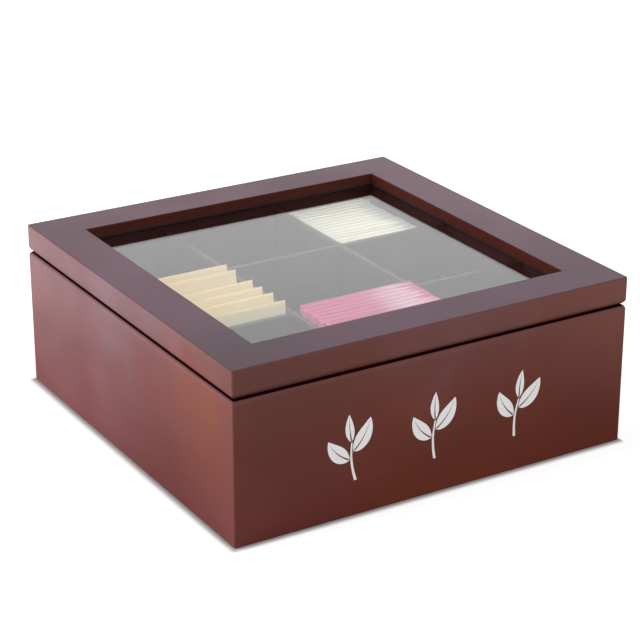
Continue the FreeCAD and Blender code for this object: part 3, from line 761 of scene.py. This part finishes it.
# %% Build one envelope
def envelope(wide, tall, edge, swollen, bow):
    """A closed paper envelope that stands on the origin, faces -Y and bows back at its top."""
    columns = 2 * round(wide / TOOTH_WIDE)
    rows = sachet_rows(tall)
    points, across, up = [], [], []
    for side in (-1, 1):
        for height in rows:
            for column in range(columns + 1):
                share = column / columns
                from_side = min(share, 1 - share) * wide - SEAM_WIDE
                from_end = min(height, tall - height) - CRIMP_TALL
                swell = soft_step(from_side / SIDE_RUN) * soft_step(from_end / SWELL_RUN)
                half = (edge + (swollen - edge) * swell) / 2
                tooth = TOOTH_DEEP * (column % 2)
                z = height - tooth if height == rows[-1] else height
                bowed = bow * max(0.0, 1 - (tall - height) / CRIMP_TALL) ** 2
                points.append(((share - 0.5) * wide, side * half + bowed, z))
                across.append(share)
                up.append(height / tall)
    mesh = bpy.data.meshes.new("one_sachet")
    mesh.from_pydata(points, [], envelope_faces(columns + 1, len(rows)))
    for attribute, values in (("across", across), ("up", up)):
        mesh.attributes.new(attribute, "FLOAT", "POINT").data.foreach_set("value", values)
    mesh.shade_smooth()
    return bpy.data.objects.new("one_sachet", mesh)


def envelope_faces(wide, tall):
    """Faces of the two grids and of the narrow band that joins their rims."""
    layer = wide * tall
    faces = []
    for row in range(tall - 1):
        for column in range(wide - 1):
            first = row * wide + column
            quad = (first, first + 1, first + wide + 1, first + wide)
            faces.append(quad)
            faces.append(tuple(layer + index for index in reversed(quad)))
    rim = list(range(wide))
    rim += [row * wide + wide - 1 for row in range(1, tall)]
    rim += [layer - 1 - column for column in range(1, wide)]
    rim += [row * wide for row in range(tall - 2, 0, -1)]
    for index, start in enumerate(rim):
        end = rim[(index + 1) % len(rim)]
        faces.append((end, start, layer + start, layer + end))
    return faces


# %% [markdown]
# ## A tree and what it makes
# Two things repeat on this chest: sachets in a compartment and sprigs on its front. Both are
# one shape on a few points, so they share how a Geometry Nodes tree is started and how it is
# run. The points carry numbers, such as how far a sachet leans. The tree's inputs are set by
# their identifiers, and what the modifier makes is then taken over as a plain mesh.

# %% Start a tree with named inputs
def start_tree(name, inputs):
    """A new tree and the outputs of its Group Input node."""
    tree = bpy.data.node_groups.new(name, "GeometryNodeTree")
    tree.interface.new_socket(
        name="Geometry", in_out="OUTPUT", socket_type="NodeSocketGeometry")
    for label, kind in (("Geometry", "NodeSocketGeometry"), *inputs):
        tree.interface.new_socket(name=label, in_out="INPUT", socket_type=kind)
    return tree, add(tree, "NodeGroupInput").outputs


def number_of(tree, name):
    """A number that the points carry."""
    given = add(tree, "GeometryNodeInputNamedAttribute", {"Name": name}, data_type="FLOAT")
    return given.outputs[0]


# %% Run a tree on points
def grow(name, feet, label, values, tree, settings):
    """The plain mesh that a tree makes of points, each with one value under a label."""
    points = bpy.data.meshes.new(name)
    points.from_pydata(feet, [], [])
    points.attributes.new(label, "FLOAT", "POINT").data.foreach_set("value", values)
    holder = bpy.data.objects.new(name + "_points", points)
    bpy.context.scene.collection.objects.link(holder)
    modifier = holder.modifiers.new(tree.name, "NODES")
    modifier.node_group = tree
    for item in tree.interface.items_tree:
        if item.in_out == "INPUT" and item.name in settings:
            modifier[item.identifier] = settings[item.name]
    graph = bpy.context.evaluated_depsgraph_get()
    mesh = bpy.data.meshes.new_from_object(
        holder.evaluated_get(graph), preserve_all_data_layers=True, depsgraph=graph)
    mesh.name = name
    bpy.data.objects.remove(holder)
    piece = bpy.data.objects.new(name, mesh)
    bpy.context.scene.collection.objects.link(piece)
    return piece


# %% [markdown]
# ## Packs of sachets
# A pack is the same sachet many times, a few millimetres apart, each leaning a little and none
# quite like its neighbour. Copying by hand would be slow and too regular. In Geometry Nodes
# one point per sachet carries its lean, a sachet is put on each point, and seeded random
# numbers turn, tilt and slide it slightly. After Realize Instances a noise ripples the paper,
# different for each sachet because the noise is moved along by the sachet's number.

# %% Random numbers for turn, tilt and slide
def live(sockets):
    """Those sockets of a node that its chosen data type uses."""
    return [item for item in sockets if item.enabled]


def random_between(tree, reach, seed, step):
    """A number from -reach to reach, another one for each step."""
    made = add(tree, "FunctionNodeRandomValue", data_type="FLOAT")
    values = {
        "Min": calculate(tree, "MULTIPLY", reach, -1.0),
        "Max": reach,
        "Seed": calculate(tree, "ADD", seed, float(step)),
    }
    for socket in live(made.inputs):
        if socket.name in values:
            join_up(tree, values[socket.name], socket)
    return live(made.outputs)[0]


# %% The ripple of the paper
RIPPLE_SCALE = 38.0
RIPPLE_STEP = 3.7


def paper_ripple(tree, reach):
    """Moves paper to and fro by up to reach, least at the foot."""
    inputs = {
        "Vector": add(tree, "GeometryNodeInputPosition").outputs[0],
        "W": calculate(tree, "MULTIPLY", number_of(tree, "number"), RIPPLE_STEP),
        "Scale": RIPPLE_SCALE,
        "Detail": 1.0,
    }
    wave = add(tree, "ShaderNodeTexNoise", inputs, noise_dimensions="4D").outputs[0]
    wave = calculate(tree, "SUBTRACT", wave, 0.5)
    wave = calculate(tree, "MULTIPLY", wave, calculate(tree, "MULTIPLY", reach, 2.0))
    wave = calculate(tree, "MULTIPLY", wave, number_of(tree, "up"))
    return add(tree, "ShaderNodeCombineXYZ", {"Y": wave}).outputs[0]


# %% The tree that fills a compartment
PACK_INPUTS = (
    ("Sachet", "NodeSocketObject"),
    ("Paper", "NodeSocketMaterial"),
    ("Turn", "NodeSocketFloat"),
    ("Tilt", "NodeSocketFloat"),
    ("Slide", "NodeSocketFloat"),
    ("Ripple", "NodeSocketFloat"),
    ("Seed", "NodeSocketInt"),
)


def marked(tree, sachets, name, value):
    """Gives each sachet a number of its own, which its points keep."""
    inputs = {"Geometry": sachets, "Name": name, "Value": value}
    kind = "GeometryNodeStoreNamedAttribute"
    return add(tree, kind, inputs, data_type="FLOAT", domain="INSTANCE").outputs[0]


def pack_tree():
    tree, given = start_tree("pack_of_sachets", PACK_INPUTS)
    tilt = random_between(tree, given["Tilt"], given["Seed"], 1)
    turn = random_between(tree, given["Turn"], given["Seed"], 2)
    slide = random_between(tree, given["Slide"], given["Seed"], 3)
    shade = add(tree, "FunctionNodeRandomValue", {"Seed": given["Seed"]}, data_type="FLOAT")
    leaning = calculate(tree, "ADD", number_of(tree, "lean"), tilt)
    leaning = calculate(tree, "MULTIPLY", leaning, -1.0)
    rotation = add(tree, "ShaderNodeCombineXYZ", {"X": leaning, "Z": turn}).outputs[0]
    shift = add(tree, "ShaderNodeCombineXYZ", {"X": slide}).outputs[0]
    feet = {"Geometry": given["Geometry"], "Offset": shift}
    feet = add(tree, "GeometryNodeSetPosition", feet).outputs[0]
    sachet = add(tree, "GeometryNodeObjectInfo", {"Object": given["Sachet"]}).outputs["Geometry"]
    stood = {"Points": feet, "Instance": sachet, "Rotation": rotation}
    stood = add(tree, "GeometryNodeInstanceOnPoints", stood).outputs[0]
    stood = marked(tree, stood, "number", add(tree, "GeometryNodeInputIndex").outputs[0])
    stood = marked(tree, stood, "shade", live(shade.outputs)[0])
    real = add(tree, "GeometryNodeRealizeInstances", {0: stood}).outputs[0]
    rippled = {"Geometry": real, "Offset": paper_ripple(tree, given["Ripple"])}
    rippled = add(tree, "GeometryNodeSetPosition", rippled).outputs[0]
    papered = {"Geometry": rippled, "Material": given["Paper"]}
    papered = add(tree, "GeometryNodeSetMaterial", papered).outputs[0]
    add(tree, "NodeGroupOutput", {0: papered})
    return tree


packs = pack_tree()
print("nodes in the pack tree:", len(packs.nodes))

# %% [markdown]
# ## Paper finishes
# Tea paper is matt, slightly mottled and printed in soft colours. It is thin, so light that
# falls on one sachet also comes through from its neighbours, and a little subsurface
# scattering keeps the gaps between them from going black. The envelopes carry two numbers on
# every point, how far across and how far up the sachet it lies, so a print can fade from one
# side to the other and the crimped bands can have their fine ribs. How far up also sets a
# painted shade on the top band, darker towards the top edge. A third number, different for
# each sachet, makes some of them a touch darker. The sachet's index gives a painted shade to
# the front-most cream sachet and the rear white ones.

# %% Numbers of the paper
WANDER, STREAK = 0.08, 0.10
STREAKS = (40.0, 400.0, 400.0)
CLOUDY_SCALE, MOTTLE_SCALE = 60.0, 900.0
SHADE_SHARE, ROW_SHADE_SHARE, MOTTLE_SHARE = 0.25, 0.7, 0.12
CRIMP_RIBS = 42.0
PAPER_SMOOTH, PAPER_ROUGH = 0.60, 0.75
PAPER_RELIEF, RIB_DEPTH = 0.06, 0.0002
PAPER_EVEN = {
    "Specular IOR Level": 0.3,
    "Subsurface Weight": 0.6,
    "Subsurface Radius": (1.0, 1.0, 1.0),
    "Subsurface Scale": 0.003,
}


def reading(tree, name):
    return add(tree, "ShaderNodeAttribute", attribute_name=name).outputs["Fac"]


# %% The colour of a paper
def print_on(tree, where, mottle, left, right, fade, shaded, end, end_fade, apart, rows, ribbed):
    """Fades from left to right, has a tone of its own at the right end, and paints shade on some
    rows and on the top band.
    """
    across, up = reading(tree, "across"), reading(tree, "up")
    cloudy = clouds(tree, where, CLOUDY_SCALE)
    wander = calculate(tree, "ADD", across, uneven(tree, cloudy, -WANDER, WANDER))
    colour = blend(tree, spread(tree, wander, *fade), left, right)
    darker = calculate(tree, "MULTIPLY", reading(tree, "shade"), SHADE_SHARE)
    colour = blend(tree, darker, colour, shaded)
    streak = clouds(tree, stretched(tree, where, STREAKS), 1.0)
    ended = calculate(tree, "ADD", across, uneven(tree, streak, -STREAK, STREAK))
    colour = blend(tree, spread(tree, ended, *end_fade), colour, end)
    # Painted shade on the sachets whose numbers lie in the given rows.
    colour = mottled(tree, colour, apart, reading(tree, "number"), *rows, ROW_SHADE_SHARE)
    # Painted shade: the top band of each sachet is darker towards its top edge.
    colour = mottled(tree, colour, shaded, up, 0.92, 1.0, ribbed)
    return mottled(tree, colour, shaded, mottle, 0.45, 0.8, MOTTLE_SHARE)


# %% The paper finish
def paper_finish(name, **tones):
    material, tree, shader = new_finish(name)
    where = object_place(tree)
    mottle = clouds(tree, where, MOTTLE_SCALE, detail=3.0)
    join_up(tree, print_on(tree, where, mottle, **tones), shader.inputs["Base Color"])
    join_up(tree, uneven(tree, mottle, PAPER_SMOOTH, PAPER_ROUGH), shader.inputs["Roughness"])
    hold(shader, PAPER_EVEN)
    across, up = reading(tree, "across"), reading(tree, "up")
    ribs = calculate(tree, "SINE", calculate(tree, "MULTIPLY", across, CRIMP_RIBS * 2 * math.pi))
    ribs = calculate(tree, "MULTIPLY", ribs, spread(tree, up, 0.94, 0.96))
    relief(tree, shader, calculate(tree, "ADD", ribs, mottle), PAPER_RELIEF, RIB_DEPTH)
    return material


# %% Three papers, with the numbers of the first and the last sachet whose row gets a painted shade
CREAM, CREAM_RIGHT = (0.78, 0.54, 0.22, 1.0), (0.67, 0.54, 0.32, 1.0)
CREAM_SHADED, CREAM_END = (0.64, 0.47, 0.23, 1.0), (0.74, 0.54, 0.34, 1.0)
# Painted shade for the front-most cream sachet.
CREAM_FRONT_SHADE = (0.38, 0.39, 0.29, 1.0)
PINK, PINK_RIGHT = (0.47, 0.036, 0.145, 1.0), (0.66, 0.48, 0.57, 1.0)
PINK_SHADED, PINK_END = (0.50, 0.12, 0.24, 1.0), (0.50, 0.05, 0.18, 1.0)
# Painted shade on the white sachets: their left part is darker and their right end is grey.
WHITE, WHITE_RIGHT = (0.70, 0.67, 0.56, 1.0), (0.86, 0.80, 0.64, 1.0)
WHITE_SHADED, WHITE_END_SHADE = (0.60, 0.60, 0.50, 1.0), (0.29, 0.30, 0.28, 1.0)
NO_ROWS = (90.0, 99.0)

cream = paper_finish(
    "cream_tea_paper", left=CREAM, right=CREAM_RIGHT, fade=(0.0, 1.0), shaded=CREAM_SHADED,
    end=CREAM_END, end_fade=(0.88, 1.0), apart=CREAM_FRONT_SHADE, rows=(0.6, 0.0), ribbed=0.45)
pink = paper_finish(
    "pink_tea_paper", left=PINK, right=PINK_RIGHT, fade=(0.42, 0.80), shaded=PINK_SHADED,
    end=PINK_END, end_fade=(0.88, 0.96), apart=PINK_RIGHT, rows=NO_ROWS, ribbed=0.30)
white = paper_finish(
    "white_tea_paper", left=WHITE, right=WHITE_RIGHT, fade=(0.0, 0.4), shaded=WHITE_SHADED,
    end=WHITE_END_SHADE, end_fade=(0.72, 1.0), apart=WHITE_SHADED, rows=(7.0, 14.0), ribbed=0.15)
print("papers:", cream.name, pink.name, white.name)

# %% [markdown]
# ## Filling three compartments
# The points of a full pack start at the long divider beside it and step away by one pitch.
# The loose pack has its own list: its sachets lean back more and more towards the rear, as
# sachets do when a compartment is half empty. The compartments' walls are read from the
# frame, so a sachet always stands inside its own compartment.

# %% Places of the sachets
PACK_PITCH = 0.0044
PACK_ROOM = 0.0026
PACK_LEAN = math.radians(0.8)
PINK_COUNT, WHITE_COUNT = 15, 14
LOOSE_LEAN = math.radians(9.0)
LOOSE_SHARES = [
    (-0.455, 0.1), (-0.266, 0.41), (-0.118, 0.55), (0.039, 0.68), (0.306, 0.86), (0.45, 1.0),
]


def pack_places(name, start, way, count):
    """Feet and leans of a pack that starts at a wall and goes back (1) or forward (-1)."""
    low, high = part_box(name)
    middle = (low.x + high.x) / 2
    steps = [start + way * (PACK_ROOM + step * PACK_PITCH) for step in range(count)]
    return [(middle, y, low.z) for y in steps], [PACK_LEAN] * count


def loose_places(name, tall, front, rear):
    """Feet and leans of sachets that lean back, from shares of the compartment's depth."""
    low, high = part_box(name)
    middle = (low.x + high.x) / 2
    feet, leans = [], []
    for place, share in LOOSE_SHARES:
        lean = share * LOOSE_LEAN
        top = (front + rear) / 2 + place * (rear - front)
        feet.append((middle, top - tall * math.sin(lean), low.z))
        leans.append(lean)
    return feet, leans


print("sachets in all:", len(LOOSE_SHARES) + PINK_COUNT + WHITE_COUNT)


# %% A function that fills one compartment
TURN = math.radians(0.35)
TILT = math.radians(0.25)
RIPPLE = 0.0004


def fill(name, node, shape, slide, places, paper, seed):
    """Puts sachets in a compartment in place of the model's plain ones."""
    low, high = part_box(node)
    sachet = envelope(high.x - low.x - 2 * slide, **shape)
    bpy.context.scene.collection.objects.link(sachet)
    settings = {
        "Sachet": sachet, "Paper": paper, "Turn": TURN, "Tilt": TILT,
        "Slide": slide, "Ripple": RIPPLE, "Seed": seed,
    }
    feet, leans = places
    piece = grow(name, feet, "lean", leans, packs, settings)
    bpy.data.objects.remove(sachet)
    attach(piece, "case")
    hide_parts(node)
    print(name, "has", len(piece.data.polygons), "faces")


# %% Fill them
CREAM_SHAPE = {"tall": 0.077, "edge": 0.0006, "swollen": 0.0034, "bow": 0.0003}
PINK_SHAPE = {"tall": 0.075, "edge": 0.0040, "swollen": 0.0043, "bow": 0.0006}
WHITE_SHAPE = {"tall": 0.0703, "edge": 0.0041, "swollen": 0.0043, "bow": 0.0006}
CREAM_SLIDE, PINK_SLIDE, WHITE_SLIDE = 0.0004, 0.0006, 0.0009

front_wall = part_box("divider_long_front")
rear_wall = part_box("divider_long_rear")
loose = loose_places("sachets_cream", CREAM_SHAPE["tall"], front_wall[1].y, rear_wall[0].y)
front_pack = pack_places("sachets_pink", front_wall[0].y, -1, PINK_COUNT)
rear_pack = pack_places("sachets_white", rear_wall[1].y, 1, WHITE_COUNT)
fill("cream_sachets", "sachets_cream", CREAM_SHAPE, CREAM_SLIDE, loose,
     cream, seed=11)
fill("pink_sachets", "sachets_pink", PINK_SHAPE, PINK_SLIDE, front_pack,
     pink, seed=23)
fill("white_sachets", "sachets_white", WHITE_SHAPE, WHITE_SLIDE, rear_pack,
     white, seed=37)

# %% [markdown]
# ## Painted ornament
# The front carries a row of three tea sprigs in white paint, each two leaves and a bud. They
# could be an image on the board, but paint has a thickness, if a tiny one, and an image has
# no clean edge up close. A leaf is a formula: a centre line that bends and a width that
# swells and ends in a point. Its two halves leave the midrib bare, as a stencil would.

# %% The outline of a leaf
LEAF_STEPS = 18
LEAF_BELLY, LEAF_FULLNESS = 0.8, 0.85
MIDRIB_WIDE = 0.0009


def strip_faces(start, steps, side=-1):
    """Faces of a ladder of point pairs, turned over for the other side."""
    faces = []
    for first in range(start, start + 2 * steps, 2):
        quad = (first, first + 1, first + 3, first + 2)
        faces.append(quad if side < 0 else tuple(reversed(quad)))
    return faces


def leaf_halves(base, angle, bend, length, wide):
    """Points and faces of a leaf in the plane of the front, its midrib left bare."""
    points, faces = [], []
    for side in (-1, 1):
        x, z = base
        faces += strip_faces(len(points), LEAF_STEPS, side)
        for step in range(LEAF_STEPS + 1):
            share = step / LEAF_STEPS
            way = math.radians(angle + bend * share)
            across = (-math.sin(way) * side, math.cos(way) * side)
            half = wide / 2 * math.sin(math.pi * share ** LEAF_BELLY) ** LEAF_FULLNESS
            gap = min(MIDRIB_WIDE / 2 * (1 - share), half)
            points.append((x + across[0] * gap, z + across[1] * gap))
            points.append((x + across[0] * half, z + across[1] * half))
            x += math.cos(way) * length / LEAF_STEPS
            z += math.sin(way) * length / LEAF_STEPS
    return points, faces


# %% One sprig: each leaf has a base, an angle, a bend, a length and a width
LEAVES = (
    ((-0.0022, -0.0056), 148.0, -42.0, 0.0185, 0.0085),
    ((0.0004, -0.0016), 34.0, 40.0, 0.0200, 0.0088),
    ((0.0, 0.0040), 96.0, -14.0, 0.0155, 0.0052),
)
STEM_FOOT, STEM_TOP = -0.018, 0.0035
STEM_WIDE = 0.0013
STEM_BASE, STEM_TAPER = 1.25, 0.6
STEM_BOW = 0.0012
STEM_STEPS = 12


def stem():
    points = []
    for step in range(STEM_STEPS + 1):
        share = step / STEM_STEPS
        middle = -STEM_BOW * math.sin(math.pi * share)
        half = STEM_WIDE / 2 * (STEM_BASE - STEM_TAPER * share)
        height = STEM_FOOT + share * (STEM_TOP - STEM_FOOT)
        points += [(middle - half, height), (middle + half, height)]
    return points, strip_faces(0, STEM_STEPS)


def sprig():
    """A flat mesh in the XZ plane that faces -Y."""
    points, faces = stem()
    for leaf in LEAVES:
        more, sides = leaf_halves(*leaf)
        faces += [tuple(index + len(points) for index in face) for face in sides]
        points += more
    mesh = bpy.data.meshes.new("sprig")
    mesh.from_pydata([(x, 0.0, z) for x, z in points], [], faces)
    return bpy.data.objects.new("one_sprig", mesh)


print("height of a stem in mm:", round(1000 * (STEM_TOP - STEM_FOOT), 1))


# %% White paint
PAINT_WHITE, PAINT_WORN = (0.98, 0.98, 0.97, 1.0), (0.92, 0.91, 0.89, 1.0)
PAINT_SMOOTH, PAINT_ROUGH = 0.35, 0.5
WEAR_SCALE = 300.0
PAINT_RELIEF, PAINT_DEPTH = 0.1, 0.0001


def paint_finish():
    material, tree, shader = new_finish("white_paint")
    wear = clouds(tree, object_place(tree), WEAR_SCALE, detail=3.0)
    colour = mottled(tree, PAINT_WHITE, PAINT_WORN, wear, 0.45, 0.80, 1.0)
    join_up(tree, colour, shader.inputs["Base Color"])
    join_up(tree, uneven(tree, wear, PAINT_SMOOTH, PAINT_ROUGH), shader.inputs["Roughness"])
    relief(tree, shader, wear, PAINT_RELIEF, PAINT_DEPTH)
    return material


# %% [markdown]
# Three sprigs in a row are again one shape on points. Instance on Points places and turns
# them, and Extrude Mesh gives the paint its thickness, with the flat sheet kept as its back.

# %% The tree that paints a row of sprigs
ROW_INPUTS = (
    ("Sprig", "NodeSocketObject"),
    ("Paint", "NodeSocketMaterial"),
    ("Thickness", "NodeSocketFloat"),
)
MERGE_WITHIN = 0.00001


def row_tree():
    tree, given = start_tree("row_of_sprigs", ROW_INPUTS)
    rotation = add(tree, "ShaderNodeCombineXYZ", {"Y": number_of(tree, "turn")}).outputs[0]
    shape = add(tree, "GeometryNodeObjectInfo", {"Object": given["Sprig"]}).outputs["Geometry"]
    placed = {"Points": given["Geometry"], "Instance": shape, "Rotation": rotation}
    placed = add(tree, "GeometryNodeInstanceOnPoints", placed).outputs[0]
    real = add(tree, "GeometryNodeRealizeInstances", {0: placed}).outputs[0]
    raised = {"Mesh": real, "Offset Scale": given["Thickness"], "Individual": False}
    raised = add(tree, "GeometryNodeExtrudeMesh", raised).outputs["Mesh"]
    behind = add(tree, "GeometryNodeFlipFaces", {"Mesh": real}).outputs[0]
    closed = add(tree, "GeometryNodeJoinGeometry")
    join_up(tree, raised, closed.inputs[0])
    join_up(tree, behind, closed.inputs[0])
    merged = {"Geometry": closed.outputs[0], "Distance": MERGE_WITHIN}
    merged = add(tree, "GeometryNodeMergeByDistance", merged).outputs[0]
    painted = {"Geometry": merged, "Material": given["Paint"]}
    painted = add(tree, "GeometryNodeSetMaterial", painted).outputs[0]
    add(tree, "NodeGroupOutput", {0: painted})
    return tree


# %% Paint the front: each sprig has a place along and up, and a turn
SPRIG_PLACES = [(-0.052, 0.038, -6.0), (-0.002, 0.038, 0.0), (0.0505, 0.038, 6.0)]
PAINT_PROUD = 0.00006
PAINT_SUNK = 0.00006


def paint_front():
    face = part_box("front_panel")[0].y
    feet = [(x, face + PAINT_SUNK, z) for x, z, turn in SPRIG_PLACES]
    turns = [math.radians(turn) for x, z, turn in SPRIG_PLACES]
    shape = sprig()
    bpy.context.scene.collection.objects.link(shape)
    settings = {"Sprig": shape, "Paint": paint_finish(), "Thickness": PAINT_PROUD + PAINT_SUNK}
    piece = grow("painted_sprigs", feet, "turn", turns, row_tree(), settings)
    bpy.data.objects.remove(shape)
    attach(piece, "case")
    return piece


paint = paint_front()
print("paint faces:", len(paint.data.polygons))
